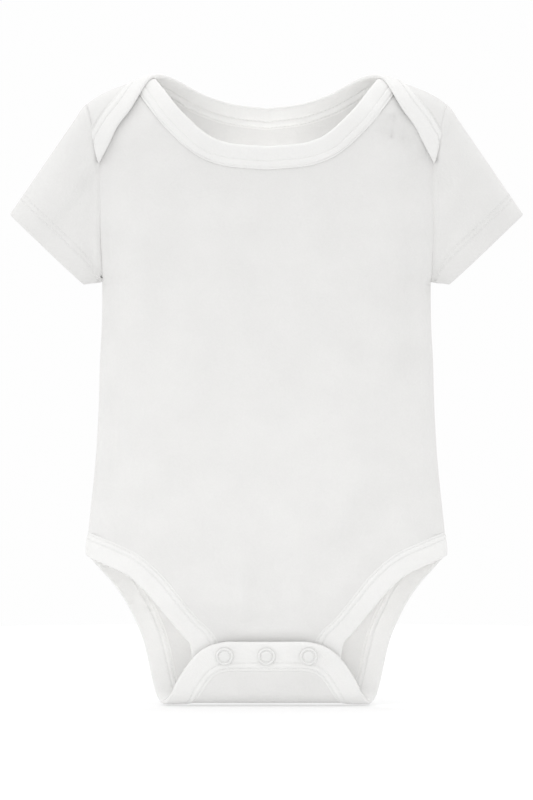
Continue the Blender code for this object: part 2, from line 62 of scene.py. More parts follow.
UNDER_LAP, LAP_EASE = 0.0031, (0.001, 0.024)
UNDER_FLAP, FLAP_EASE = 0.0046, (0.0395, 0.0680)
LAP_EDGE_X, LAP_EDGE_HEIGHT = 0.0736, 0.3987
OFF_LAP_X, OFF_LAP_UP = -0.853, -0.521
LAP_OVER_SEAM = (0.338, 0.352)
HALF_TURN = math.pi / 2

# height, half width of the outline; above the underarm it is the sleeve seam
OUTLINE = (
    (0.0000, 0.1150), (0.0953, 0.1150), (0.1100, 0.1140), (0.1235, 0.1127), (0.1440, 0.1105),
    (0.1645, 0.1088), (0.1900, 0.1075), (0.2208, 0.1066), (0.2413, 0.1056), (0.2600, 0.1053),
    (0.2694, 0.1053), (0.3085, 0.1062), (0.3232, 0.1060), (0.3411, 0.1068), (0.3558, 0.1098),
    (0.3686, 0.1133), (0.3808, 0.1172),
)
# height, depth in front of the side seams, and behind them
FRONT_DEPTH = (
    (0.009, 0.0090), (0.030, 0.0125), (0.060, 0.0185), (0.0934, 0.0240), (0.130, 0.0275),
    (0.190, 0.0295), (0.250, 0.0285), (0.300, 0.0265), (0.340, 0.0248), (0.400, 0.0240),
)
BACK_DEPTH = (
    (0.009, 0.0090), (0.030, 0.0140), (0.060, 0.0215), (0.0934, 0.0275), (0.130, 0.0300),
    (0.190, 0.0290), (0.250, 0.0272), (0.300, 0.0258), (0.340, 0.0248), (0.400, 0.0240),
)
ARMHOLE_DEPTH = (
    (0.0000, 0.0000), (0.2694, 0.0000), (0.2725, 0.0060), (0.2780, 0.0100), (0.2900, 0.0145),
    (0.3100, 0.0175), (0.3350, 0.0190), (0.4000, 0.0190),
)
# half width, height of the shoulder ridge
RIDGE = (
    (0.000, 0.4022), (0.060, 0.4022), (0.070, 0.4018), (0.080, 0.3998), (0.0893, 0.3962),
    (0.1021, 0.3912), (0.1110, 0.3862), (0.1172, 0.3812),
)
# height, part of the centre's depth that is left at the armholes
BOXINESS = ((0.150, 0.0), (0.230, 0.20), (0.290, 0.62), (0.330, 0.76), (0.400, 0.78))
# half width, degrees over the shoulder, of the front's cut edge along neck and shoulder end
FRONT_EDGE = (
    (0.0000, -25.4), (0.0235, -22.4), (0.0390, -15.1), (0.0561, 3.9), (0.0688, 21.3),
    (0.0782, 42.8), (0.0832, 63.0), (0.0868, 90.0), (0.1300, 90.0),
)
# height, half width of the front's cut edge from placket to hip
FRONT_LEG = (
    (0.0350, 0.0308), (0.0400, 0.0322), (0.0450, 0.0352), (0.0534, 0.0435), (0.0650, 0.0525),
    (0.0813, 0.0652), (0.0954, 0.0816), (0.1031, 0.0984), (0.1068, 0.1080), (0.1090, 0.1141),
)
# Creases: x and height where each starts and ends, how wide it is, how far it rises or, below 0, sinks,
# and 1 where it is strongest at its start, 0 where it fades at both ends
FRONT_CREASES = (
    (0.0640, 0.3660, 0.1010, 0.3580, 0.0075, -0.0034, 0),   # the hollow beside the left lap
    (0.0560, 0.3790, 0.0900, 0.3740, 0.0055, 0.0012, 0),
    (0.0620, 0.3480, 0.1010, 0.3430, 0.0080, 0.0014, 0),
    (-0.1010, 0.3500, -0.0640, 0.3800, 0.0080, 0.0014, 0),
    (-0.0950, 0.3420, -0.0500, 0.3560, 0.0100, -0.0012, 0),
    (-0.1020, 0.3300, -0.0970, 0.2200, 0.0050, -0.0022, 0),
    (-0.0985, 0.2450, -0.0995, 0.1130, 0.0055, -0.0020, 0),
    (-0.0860, 0.3330, -0.0745, 0.2350, 0.0090, 0.0015, 0),
    (-0.0880, 0.1900, -0.0760, 0.1180, 0.0085, 0.0013, 0),
    (-0.1100, 0.1330, -0.0700, 0.1150, 0.0075, -0.0018, 1),
    (0.1000, 0.3300, 0.1000, 0.1300, 0.0048, 0.0019, 0),
    (0.0905, 0.3150, 0.0890, 0.1800, 0.0060, -0.0019, 0),
    (0.0780, 0.2500, 0.0700, 0.1700, 0.0100, 0.0010, 0),
    (0.1090, 0.1380, 0.0850, 0.1120, 0.0080, -0.0018, 1),
    (0.0870, 0.1480, 0.0450, 0.0880, 0.0105, -0.0022, 0),
    (0.0660, 0.1600, 0.0340, 0.0960, 0.0090, 0.0014, 0),
    (0.0700, 0.1050, 0.0380, 0.0620, 0.0080, 0.0012, 0),
    (-0.0830, 0.1270, -0.0440, 0.0560, 0.0105, 0.0018, 0),
    (-0.0480, 0.1330, -0.0215, 0.0700, 0.0080, -0.0019, 0),
    (-0.0170, 0.1050, -0.0105, 0.0440, 0.0055, 0.0016, 0),
    (0.0040, 0.1000, 0.0130, 0.0470, 0.0065, -0.0012, 0),
    (-0.0340, 0.0462, 0.0360, 0.0462, 0.0045, 0.0012, 0),
    (-0.0050, 0.2600, 0.0130, 0.1500, 0.0190, -0.0011, 0),
    (-0.0520, 0.3000, -0.0300, 0.1600, 0.0190, 0.0010, 0),
    (0.0300, 0.3100, 0.0480, 0.2000, 0.0170, 0.0010, 0),
    (-0.0300, 0.3350, 0.0320, 0.3180, 0.0150, -0.0009, 0),
)
# the same on the back
BACK_CREASES = (
    (-0.0920, 0.3400, -0.0600, 0.3050, 0.0100, -0.0015, 0),
    (0.0940, 0.3300, 0.0700, 0.2900, 0.0090, -0.0013, 0),
    (0.1000, 0.2500, 0.0900, 0.1850, 0.0070, -0.0014, 0),
    (-0.0990, 0.2300, -0.0930, 0.1600, 0.0070, -0.0012, 0),
    (0.0900, 0.2650, 0.0740, 0.2000, 0.0090, 0.0010, 0),
    (-0.1090, 0.1370, -0.0700, 0.1130, 0.0090, -0.0013, 1),
    (0.1090, 0.1300, 0.0760, 0.1010, 0.0090, -0.0014, 1),
    (-0.0560, 0.1300, -0.0360, 0.0500, 0.0110, 0.0012, 0),
    (0.0520, 0.1150, 0.0420, 0.0360, 0.0100, -0.0012, 0),
    (0.0150, 0.1000, 0.0060, 0.0300, 0.0080, 0.0009, 0),
    (-0.0100, 0.2900, 0.0120, 0.1700, 0.0200, -0.0008, 0),
)


def along(table, at):
    """Values of a two-column table, on a smooth curve through its rows."""
    places, values = np.asarray(table, float).T
    slopes = np.diff(values) / np.diff(places)
    product = slopes[:-1] * slopes[1:]
    total = np.where(product > 0, slopes[:-1] + slopes[1:], 1.0)
    inner = np.where(product > 0, 2 * product / total, 0.0)
    tangents = np.concatenate([slopes[:1], inner, slopes[-1:]])
    at = np.clip(at, places[0], places[-1])
    row = np.clip(np.searchsorted(places, at) - 1, 0, len(slopes) - 1)
    width = places[row + 1] - places[row]
    step = (at - places[row]) / width
    rest = 1 - step
    return (
        values[row] * (1 + 2 * step) * rest ** 2 + width * tangents[row] * step * rest ** 2
        + values[row + 1] * step ** 2 * (3 - 2 * step) - width * tangents[row + 1] * step ** 2 * rest
    )


def eased(low, high, at):
    """0 below low and 1 above high, smooth between them."""
    step = np.clip((at - low) / (high - low), 0.0, 1.0)
    return step * step * (3 - 2 * step)


def fullness(share, height, depth):
    """Depth at a share of the half width, as part of the depth on the centre line."""
    box = along(BOXINESS, height)
    rounding = 1 / (2.2 - 1.2 * eased(0.0, 0.8, box))
    crown = box + (1 - box) * np.maximum(0.0, 1 - np.abs(share) ** 2.6) ** rounding
    return crown - (box - along(ARMHOLE_DEPTH, height) / depth) * np.abs(share) ** 10


def plain_form(side, turn, climb):
    """Points of the smooth outer form. side is -1 for the front and 1 for the back, turn is -1 to 1
    from seam to seam, and climb is a height, then a path over the shoulder, or round the crotch's fold."""
    turn, climb = np.broadcast_arrays(np.asarray(turn, float), np.asarray(climb, float))
    share = np.sin(turn * HALF_TURN)
    over = (climb - CHEST_TOP) / SHOULDER_ARC
    beyond = over >= math.pi
    facing = np.where(beyond, -side, side)
    level = np.where(beyond, 2 * CHEST_TOP + math.pi * SHOULDER_ARC - climb, climb)
    round_fold = (FOLD_RADIUS - level) / FOLD_RADIUS
    below = (facing > 0) & (level < FOLD_RADIUS)
    flap = below & (round_fold >= math.pi)
    level = np.where(flap, 2 * FOLD_RADIUS - FOLD_ARC - level, level)
    facing = np.where(flap, -1, facing)
    depth = np.where(facing < 0, along(FRONT_DEPTH, level), along(BACK_DEPTH, level))
    x = along(OUTLINE, level) * share
    y = facing * (SIDE_GAP + depth * fullness(share, level, depth))
    z = level.copy()
    fold = below & ~flap
    fold_depth = FOLD_RADIUS * fullness(share, FOLD_RADIUS, FOLD_RADIUS)
    y = np.where(fold, (SIDE_GAP + fold_depth) * np.cos(round_fold), y)
    z = np.where(fold, FOLD_RADIUS * (1 - np.sin(np.clip(round_fold, 0, math.pi))), z)
    shoulder = (over > 0) & ~beyond
    swing = np.sin(np.clip(over, 0.0, math.pi))
    shoulder_x = along(OUTLINE, CHEST_TOP + (SHOULDER_POINT - CHEST_TOP) * swing) * share
    chest_depth = along(FRONT_DEPTH, CHEST_TOP)
    round_y = side * (SIDE_GAP + chest_depth * fullness(share, CHEST_TOP, chest_depth) * np.cos(over))
    x = np.where(shoulder, shoulder_x, x)
    y = np.where(shoulder, round_y, y)
    z = np.where(shoulder, CHEST_TOP + (along(RIDGE, np.abs(x)) - CHEST_TOP) * swing, z)
    return np.stack([x, y, z], axis=-1)


def crease_lift(creases, points):
    """How far soft creases raise or sink the cloth at each point."""
    lift = np.zeros(points.shape[:-1])
    spot = points[..., [0, 2]]
    for x0, h0, x1, h1, width, rise, root in creases:
        run = np.array([x1 - x0, h1 - h0])
        away = spot - np.array([x0, h0])
        share = np.clip(away @ run / (run @ run), 0.0, 1.0)
        distance = np.linalg.norm(away - share[..., None] * run, axis=-1)
        fade = 1 - eased(0.0, 1.0, share) if root else eased(0.0, 0.4, share) * (1 - eased(0.6, 1.0, share))
        lift += rise * fade * np.exp(-(distance / width) ** 2)
    return lift


def plain_normals(side, turn, climb):
    """Unit normals of the smooth form, pointing out of the garment."""
    step, rise = 0.012, 0.0015
    across = plain_form(side, np.minimum(turn + step, 1.0), climb)
    across = across - plain_form(side, np.maximum(turn - step, -1.0), climb)
    upward = plain_form(side, turn, climb + rise) - plain_form(side, turn, climb - rise)
    normal = np.cross(across, upward)
    return -side * normal / (np.linalg.norm(normal, axis=-1, keepdims=True) + 1e-12)


def worn(side, turn, climb, sunk=0.0):
    """The form with its creases, and with the dip where the cloth is drawn in along its side seams."""
    points = plain_form(side, turn, climb)
    ahead = eased(0.002, 0.010, -points[..., 1])
    behind = eased(0.002, 0.010, points[..., 1])
    lift = crease_lift(FRONT_CREASES, points) * ahead + crease_lift(BACK_CREASES, points) * behind
    seam_x = along(OUTLINE, points[..., 2])
    seam_y = along(ARMHOLE_DEPTH, points[..., 2])
    from_seam = np.hypot(seam_x - np.abs(points[..., 0]), np.abs(points[..., 1]) - seam_y)
    dip = 0.0002 * np.exp(-(from_seam / 0.0014) ** 2) * eased(0.112, 0.125, points[..., 2])
    return points + plain_normals(side, turn, climb) * (lift - dip - sunk)[..., None]


def back(turn, climb):
    return worn(1, turn, climb)


def front(turn, climb):
    """The front lies below the outer layer under the laps and under the flap."""
    points = plain_form(-1, turn, climb)
    from_lap = (np.abs(points[..., 0]) - LAP_EDGE_X) * OFF_LAP_X
    from_lap = from_lap + (points[..., 2] - LAP_EDGE_HEIGHT) * OFF_LAP_UP
    sunk = UNDER_LAP * (1 - eased(*LAP_EASE, from_lap))
    return worn(-1, turn, climb, sunk + UNDER_FLAP * (1 - eased(*FLAP_EASE, points[..., 2])))


def climb_at(degrees):
    return CHEST_TOP + SHOULDER_ARC * np.radians(degrees)


def top_edge(table, side, turn):
    """Climb at which each turn reaches its neck or shoulder edge."""
    low = np.full(np.shape(turn), -30.0)
    high = np.full(np.shape(turn), 215.0)
    for _ in range(30):
        middle = (low + high) / 2
        below = along(table, np.abs(plain_form(side, turn, climb_at(middle))[..., 0])) > middle
        low, high = np.where(below, middle, low), np.where(below, high, middle)
    return climb_at(low)


def turn_of(height, half_width):
    return np.arcsin(np.minimum(1.0, half_width / along(OUTLINE, height))) / HALF_TURN


def front_turn(climb):
    """Turn of the front's side edge: the leg opening below the hip, the side seam above."""
    return np.where(climb >= HIP_CORNER, 1.0, turn_of(climb, along(FRONT_LEG, climb)))


def column_turn(turn, edge):
    """Turn of a column in a row whose edge is at a given turn. The outer columns crowd together."""
    crowding = np.minimum(0.6 * edge / (1.0001 - edge), 8.0)
    return turn * (1 - (1 - edge) * np.abs(turn) ** crowding)


def cloth_mesh(name, columns, rows, place, ring=False):
    """A fine grid laid on a surface. place takes shares across and along, and gives points and the
    cloth's own coordinates in metres, which the knit follows."""
    bm = bmesh.new()
    bm.loops.layers.uv.new("cloth")
    bmesh.ops.create_grid(bm, x_segments=columns, y_segments=rows, size=1.0, calc_uvs=True)
    corners = np.array([vert.co for vert in bm.verts])
    points, flat = place((corners[:, 0] + 1) / 2, (corners[:, 1] + 1) / 2)
    points = points - np.array([0.0, 0.0, HELD_HEIGHT])
    layer = bm.loops.layers.uv.active
    for vert, point, own in zip(bm.verts, points.tolist(), flat.tolist()):
        vert.co = point
        for loop in vert.link_loops:
            loop[layer].uv = own
    if ring:
        bmesh.ops.remove_doubles(bm, verts=bm.verts[:], dist=1e-6)
    mesh = bpy.data.meshes.new(name)
    bm.to_mesh(mesh)
    bm.free()
    mesh.shade_smooth()
    return mesh


def cloth_piece(name, mesh, thickness, material, nodes):
    """An object of one layer of cloth, with its thickness inwards, that stands for CAD nodes."""
    mesh.materials.append(material)
    piece = bpy.data.objects.new(name, mesh)
    bpy.context.scene.collection.objects.link(piece)
    solid = piece.modifiers.new("thickness", "SOLIDIFY")
    solid.thickness = thickness
    solid.offset = -1.0
    solid.use_rim = True
    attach(piece, "root")
    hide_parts(*nodes)
    return piece


def add_node(tree, kind, inputs=(), **settings):
    """A shader node with its settings and its inputs, which are values or other nodes' outputs."""
    node = tree.nodes.new(kind)
    for key, value in settings.items():
        setattr(node, key, value)
    for key, value in dict(inputs).items():
        if isinstance(value, bpy.types.NodeSocket):
            tree.links.new(value, node.inputs[key])
        else:
            node.inputs[key].default_value = value
    return node


def knit_material(name, colour, wale, course, relief):
    """Cotton knit: ribs of stitches along the cloth, a soft nap over them and a faint unevenness."""
    material = bpy.data.materials.new(name)
    material.use_nodes = True
    tree = material.node_tree
    shader = tree.nodes["Principled BSDF"]
    own = add_node(tree, "ShaderNodeUVMap", uv_map="cloth").outputs["UV"]
    split = add_node(tree, "ShaderNodeSeparateXYZ", {"Vector": own})
    ribs = add_node(
        tree, "ShaderNodeMath", {0: split.outputs["X"], 1: 2 * math.pi / wale}, operation="MULTIPLY")
    rib = add_node(tree, "ShaderNodeMath", {0: ribs.outputs[0]}, operation="SINE")
    lean = add_node(tree, "ShaderNodeMath", {0: rib.outputs[0], 1: 0.9}, operation="MULTIPLY")
    rows = add_node(
        tree, "ShaderNodeMath", {0: split.outputs["Y"], 1: 2 * math.pi / course}, operation="MULTIPLY")
    loops = add_node(tree, "ShaderNodeMath", {0: rows.outputs[0], 1: lean.outputs[0]}, operation="ADD")
    loop = add_node(tree, "ShaderNodeMath", {0: loops.outputs[0]}, operation="SINE")
    knit = add_node(tree, "ShaderNodeMath", {0: rib.outputs[0], 1: loop.outputs[0]}, operation="ADD")
    place = add_node(tree, "ShaderNodeTexCoord").outputs["Object"]
    nap = add_node(tree, "ShaderNodeTexNoise", {"Vector": place, "Scale": 900.0, "Detail": 3.0})
    cloud = add_node(tree, "ShaderNodeTexNoise", {"Vector": place, "Scale": 38.0, "Detail": 4.0})
    pucker = add_node(tree, "ShaderNodeTexNoise", {
        "Vector": place, "Scale": 55.0, "Detail": 3.0, "Roughness": 0.6})
    knit_bump = add_node(tree, "ShaderNodeBump", {
        "Height": knit.outputs[0], "Strength": relief, "Distance": 0.00012})
    soft_bump = add_node(tree, "ShaderNodeBump", {
        "Height": pucker.outputs["Fac"], "Strength": 0.5, "Distance": 0.0016, "Normal": knit_bump.outputs[0]})
    nap_bump = add_node(tree, "ShaderNodeBump", {
        "Height": nap.outputs["Fac"], "Strength": 0.35, "Distance": 0.0002, "Normal": soft_bump.outputs[0]})
    shade = add_node(tree, "ShaderNodeMapRange", {
        "Value": cloud.outputs["Fac"], "From Min": 0.3, "From Max": 0.7, "To Min": 0.975, "To Max": 1.01})
    fleck = add_node(tree, "ShaderNodeMapRange", {
        "Value": nap.outputs["Fac"], "From Min": 0.3, "From Max": 0.7, "To Min": 0.985, "To Max": 1.01})
    both = add_node(tree, "ShaderNodeMath", {0: shade.outputs[0], 1: fleck.outputs[0]}, operation="MULTIPLY")
    tint = add_node(tree, "ShaderNodeVectorMath", {0: colour, "Scale": both.outputs[0]}, operation="SCALE")
    tree.links.new(tint.outputs[0], shader.inputs["Base Color"])
    tree.links.new(nap_bump.outputs[0], shader.inputs["Normal"])
    shader.inputs["Roughness"].default_value = 0.92
    shader.inputs["Sheen Weight"].default_value = 0.15
    shader.inputs["Sheen Roughness"].default_value = 0.5
    return material


WHITE = (0.724, 0.720, 0.711)
interlock = knit_material("interlock_knit", WHITE, wale=0.00072, course=0.00066, relief=0.22)


def panel_place(surface, side, low, chest, edge_table, edge_turn):
    """How a panel's grid lies: level rows from low to the chest, then rows that rise to its top edge.
    Its columns stand closer where that edge is steep."""
    turns = np.linspace(-1.0, 1.0, 1201)
    tops = top_edge(edge_table, side, turns)
    run = np.concatenate([[0.0], np.cumsum(np.hypot(np.diff(turns) * 0.16, np.diff(tops)))])

    def place(across, up):
        base = np.interp(across, run / run[-1], turns)
        top = top_edge(edge_table, side, base)
        level_part = (chest - low) / (chest - low + 0.075)
        level = low + (chest - low) * np.minimum(up / level_part, 1.0)
        rise = np.clip((up - level_part) / (1 - level_part), 0.0, 1.0)
        climb = level + (top - chest) * rise
        turn = np.where(rise > 0, base, column_turn(base, edge_turn(level)))
        points = surface(turn, climb)
        return points, np.stack([points[:, 0], climb], axis=-1)

    return place


front_mesh = cloth_mesh(
    "front_cloth", 196, 190, panel_place(front, -1, PLACKET_TOP, 0.3300, FRONT_EDGE, front_turn))
front_cloth = cloth_piece("front_cloth", front_mesh, CLOTH, interlock, ["front_panel"])

# ---------------------------------------------------------------------------------------------------
# Back. One layer of the same knit. Above, it comes forward over each shoulder and laps over the front;
# below, it turns up round the crotch's fold and lies over the front's end as the flap.
# ---------------------------------------------------------------------------------------------------
FLAP_TOP = 0.0220
FOLD_HALF_WIDTH = 0.0500
FLAP_START = 2 * FOLD_RADIUS - FOLD_ARC - FLAP_TOP
BACK_EDGE = (
    (0.0000, 16.7), (0.0216, 20.0), (0.0436, 29.2), (0.0562, 39.4), (0.0674, 53.0), (0.0756, 67.0),
    (0.0842, 87.0), (0.0904, 107.7), (0.0972, 128.5), (0.1050, 146.0), (0.1129, 170.0),
)
BACK_LEG = (
    (0.0090, 0.0565), (0.0160, 0.0585), (0.0415, 0.0647), (0.0604, 0.0726), (0.0746, 0.0806),
    (0.0885, 0.0914), (0.0985, 0.1010), (0.1050, 0.1080), (0.1090, 0.1141),
)
FLAP_EDGE = (
    (0.0090, 0.0410), (0.0135, 0.0382), (0.0175, 0.0348), (0.0205, 0.0305), (0.0220, 0.0240),
)


def back_turn(climb):
    """Turn of the back's side edge: up the flap, round the fold, along the leg and up the side seam."""
    below = FOLD_RADIUS - climb
    ends = ((0.0, BACK_LEG[0][1]), (FOLD_ARC / 2, FOLD_HALF_WIDTH), (FOLD_ARC, FLAP_EDGE[0][1]))
    half_width = np.where(climb >= FOLD_RADIUS, along(BACK_LEG, climb), along(ends, below))
    half_width = np.where(below > FOLD_ARC, along(FLAP_EDGE, FOLD_RADIUS + below - FOLD_ARC), half_width)
    turn = turn_of(np.clip(climb, 0.0, HIP_CORNER), half_width)
    return np.where(climb >= HIP_CORNER, 1.0, turn)


back_mesh = cloth_mesh(
    "back_cloth", 196, 232, panel_place(back, 1, FLAP_START, 0.3450, BACK_EDGE, back_turn))
back_mesh.flip_normals()
back_cloth = cloth_piece("back_cloth", back_mesh, CLOTH, interlock, ["back_panel"])

# ---------------------------------------------------------------------------------------------------
# Sleeves. Each is a tube of the same knit sewn into its armhole. Its end is turned up inside and held by
# two rows of stitching.
# ---------------------------------------------------------------------------------------------------
CUFF_CENTRE = np.array([0.1411, 0.0, 0.2900])
CUFF_LONG_WAY = np.array([0.722, 0.0, 0.692])
CUFF_HALF_LENGTH, CUFF_HALF_DEPTH, CUFF_SQUARENESS = 0.0323, 0.0140, 2.3
SLEEVE_SWELL = 0.0020
HEM_DEPTH = 0.0165
HEM_ROWS = (0.0125, 0.0158)       # of stitching, from the cuff's edge
SLEEVE_CREASES = (
    (0.1080, 0.2790, 0.1310, 0.3180, 0.0060, -0.0022, 1),
    (0.1100, 0.3080, 0.1300, 0.3420, 0.0060, 0.0016, 0),
    (0.1200, 0.2860, 0.1500, 0.3250, 0.0075, 0.0013, 0),
    (-0.1080, 0.2800, -0.1270, 0.3230, 0.0055, -0.0020, 1),
    (-0.1120, 0.3050, -0.1400, 0.3180, 0.0070, 0.0016, 0),
    (-0.1130, 0.3350, -0.1250, 0.3620, 0.0060, -0.0014, 0),
    (-0.1230, 0.2900, -0.1500, 0.3150, 0.0070, -0.0010, 0),
)


def armhole(front_side, climb):
    """Points of the left sleeve's seam, on whichever layer is outermost there."""
    edge = np.ones_like(climb)
    under = front(edge, np.minimum(climb, LAP_OVER_SEAM[1]))
    ahead = under + (worn(-1, edge, climb) - under) * eased(*LAP_OVER_SEAM, climb)[..., None]
    return np.where(front_side[..., None], ahead, worn(1, edge, climb)) + np.array([0.0001, 0.0, 0.0])


def sleeve_form(round_share, share):
    """Points of the left sleeve: round_share goes round from the shoulder's top, share to the cuff."""
    angle = round_share * 2 * math.pi
    front_side = angle <= math.pi
    down = np.where(front_side, angle, 2 * math.pi - angle) / math.pi
    share_up = 1 - down
    even = share_up - 0.75 * np.sin(2 * math.pi * share_up) / (2 * math.pi)
    climb = UNDERARM + (climb_at(90) - UNDERARM) * even
    start = armhole(front_side, climb)
    power = 2 / CUFF_SQUARENESS
    side = np.where(front_side, -1.0, 1.0)
    cosine, sine = np.cos(down * math.pi), np.sin(down * math.pi)
    long_way = np.sign(cosine) * np.abs(cosine) ** power
    deep = side * np.abs(sine) ** power
    end = CUFF_CENTRE + CUFF_LONG_WAY * (CUFF_HALF_LENGTH * long_way)[..., None]
    end[..., 1] += CUFF_HALF_DEPTH * deep
    points = start + (end - start) * share[..., None]
    points[..., 1] += side * SLEEVE_SWELL * sine * np.sin(math.pi * np.clip(share, 0, 1))
    return points, np.linalg.norm(end - start, axis=-1)


def sleeve_normals(round_share, share):
    """Unit normals of the sleeve's form, pointing out of it."""
    step = 0.004
    ring = sleeve_form((round_share + step) % 1, share)[0] - sleeve_form((round_share - step) % 1, share)[0]
    out = sleeve_form(round_share, share + 0.01)[0] - sleeve_form(round_share, share - 0.01)[0]
    normal = np.cross(ring, out)
    return normal / (np.linalg.norm(normal, axis=-1, keepdims=True) + 1e-12)


def near(distance, length):
    """A distance from the cuff's edge, kept short of the armhole where the sleeve is short."""
    return distance / (1 + (distance / (0.85 * length)) ** 4) ** 0.25


SEAM_RIDGE = 0.0003               # the cloth's swell over the seam allowance
TUCKED_IN = 0.0007                # how far the sleeve's raw edge dips under the body's
ROW_DIP = 0.00006                 # the dip under each row of stitching


def sleeve_outside(round_share, share, mirror):
    """The sleeve's outer face with its creases, the dip at its seam and the dips under its stitching."""
    points, length = sleeve_form(round_share, share)
    normal = sleeve_normals(round_share, share)
    lift = crease_lift(SLEEVE_CREASES, points * np.array([mirror, 1.0, 1.0]))
    lift = lift * eased(0.002, 0.008, np.abs(points[..., 1]))
    lift = 0.8 * lift * eased(0.0, 0.2, share) * (1 - eased(0.35, 1.0, share))
    lift = lift * eased(0.012, 0.032, length)
    from_seam = share * length
    lift = lift + SEAM_RIDGE * np.exp(-((from_seam - 0.0035) / 0.0022) ** 2)
    lift = lift - TUCKED_IN * eased(0.0, 0.045, -share)
    for row in HEM_ROWS:
        from_row = (1 - share) * length - near(row, length)
        lift = lift - ROW_DIP * np.exp(-(from_row / 0.0006) ** 2)
    return points + normal * lift[..., None], normal, length


# The cloth's path: shares of the plain part, distances from the cuff's edge, then round it and back inside
HEM_TURN = 0.0012
PLAIN_SHARES = np.concatenate([[-0.045], np.linspace(0, 1, 42) ** 1.15])
EDGE_STEPS = np.concatenate([np.linspace(0.0200, 0.0110, 32)[1:], np.linspace(0.0110, HEM_TURN, 9)[1:]])
TURNS = np.linspace(0, math.pi, 8)[1:]
INSIDE = np.linspace(HEM_TURN, HEM_DEPTH, 12)[1:]
SLEEVE_COLUMNS = 160
SLEEVE_ROWS = len(PLAIN_SHARES) + len(EDGE_STEPS) + len(TURNS) + len(INSIDE)


def sleeve_place(mirror):
    """The path of the cloth: armhole to cuff, round its edge and back up inside as the hem."""
    plain = np.concatenate([PLAIN_SHARES, np.ones(SLEEVE_ROWS - len(PLAIN_SHARES))])
    from_edge = np.concatenate([
        np.full(len(PLAIN_SHARES), 0.0200), EDGE_STEPS, HEM_TURN * (1 - np.sin(TURNS)), INSIDE])
    bends = np.concatenate([
        np.zeros(len(PLAIN_SHARES) + len(EDGE_STEPS)), TURNS, np.full(len(INSIDE), math.pi)])

    def place(around, along_path):
        row = np.round(along_path * (SLEEVE_ROWS - 1)).astype(int)
        _, length = sleeve_form(around, np.zeros_like(around))
        share = (1 - near(from_edge[row], length) / length) * plain[row]
        points, normal, _ = sleeve_outside(around, share, mirror)
        points = points - normal * (HEM_TURN * (1 - np.cos(bends[row])))[..., None]
        path = np.where(bends[row] < 1.5, share * length, 2 * length - share * length)
        return points * np.array([mirror, 1.0, 1.0]), np.stack([around * 0.155, path], axis=-1)

    return place


for side_name, mirror in (("left", 1), ("right", -1)):
    sleeve_mesh = cloth_mesh(
        f"sleeve_cloth_{side_name}", SLEEVE_COLUMNS, SLEEVE_ROWS - 1, sleeve_place(mirror), ring=True)
    if mirror < 0:
        sleeve_mesh.flip_normals()
    sleeve = cloth_piece(
        f"sleeve_cloth_{side_name}", sleeve_mesh, 0.0010, interlock, [f"sleeve_{side_name}"])

# ---------------------------------------------------------------------------------------------------
# Bindings. A strip of the same knit is folded over each cut edge of the neck, legs and flap, and held
# by two rows of coverstitch. The strip swells a little beside the rows, which draw it in.
# ---------------------------------------------------------------------------------------------------
NECK_BAND, LEG_BAND, FLAP_SIDE_BAND, FLAP_TOP_BAND = 0.0138, 0.0150, 0.0168, 0.0185
BAND_CLOTH = 0.0006
LAP_TIP = (0.1063, 199.0)
SHORT_OF_SLEEVE = 0.95
FRONT_TIP = 0.0722
# Painted light: the bands are the same knit as the body, but their colour is painted lighter than WHITE to
# stand in for light falling on them.
binding_knit = knit_material("binding_knit", (0.790, 0.787, 0.778), wale=0.00080, course=0.00070, relief=0.30)


def on_cloth(places):
    """Points of places, which are rows of side, turn and climb."""
    side, turn, climb = places[..., 0], places[..., 1], places[..., 2]
    return np.where(side[..., None] < 0, front(turn, climb), back(turn, climb))


def cloth_normals(places):
    side, turn, climb = places[..., 0], places[..., 1], places[..., 2]
    ahead = plain_normals(-1, turn, climb)
    return np.where(side[..., None] < 0, ahead, plain_normals(1, turn, climb))


def smoothed(values, reach):
    """Each column of values as its running average over reach rows to each side."""
    kernel = np.hanning(2 * reach + 3)[1:-1]
    kernel = kernel / kernel.sum()
    padded = np.concatenate([
        2 * values[:1] - values[reach:0:-1], values, 2 * values[-1:] - values[-2:-reach - 2:-1]])
    return np.stack([np.convolve(column, kernel, "valid") for column in padded.T], axis=-1)


def evenly(places, spacing):
    """The same run of places at even steps along the cloth, each with its share of the run."""
    points = on_cloth(places)
    lengths = np.concatenate([[0], np.cumsum(np.linalg.norm(np.diff(points, axis=0), axis=-1))])
    steps = np.linspace(0, lengths[-1], max(4, round(lengths[-1] / spacing)))
    found = np.stack([np.interp(steps, lengths, column) for column in places.T], axis=-1)
    found[:, 0] = np.where(found[:, 0] < 0, -1.0, 1.0)
    return found


def finished_edge(inner, widths, flip, reach):
    """Places a band's width outside a cut edge, found on the cloth's own surface."""
    points = on_cloth(inner)
    tangents = np.gradient(points, axis=0)
    outwards = np.cross(cloth_normals(inner), tangents) * (1 if flip else -1)
    outwards = smoothed(outwards / np.linalg.norm(outwards, axis=-1, keepdims=True), reach)
    outwards /= np.linalg.norm(outwards, axis=-1, keepdims=True)
    target = points + outwards * widths[:, None]
    found = inner.copy()
    for _ in range(8):
        step, rise = 1e-3, 1e-4
        ahead, behind, above, below = found.copy(), found.copy(), found.copy(), found.copy()
        ahead[:, 1] = np.minimum(found[:, 1] + step, 1.0)
        behind[:, 1] = np.maximum(ahead[:, 1] - 2 * step, -1.0)
        above[:, 2] += rise
        below[:, 2] -= rise
        across = (on_cloth(ahead) - on_cloth(behind)) / (ahead[:, 1] - behind[:, 1])[:, None]
        upward = (on_cloth(above) - on_cloth(below)) / (2 * rise)
        miss = target - on_cloth(found)
        aa, au, uu = (across ** 2).sum(-1), (across * upward).sum(-1), (upward ** 2).sum(-1)
        am, um = (across * miss).sum(-1), (upward * miss).sum(-1)
        scale = aa * uu - au * au
        found[:, 1] = np.clip(found[:, 1] + (am * uu - um * au) / scale, -1.0, 1.0)
        found[:, 2] += (um * aa - am * au) / scale
    return found


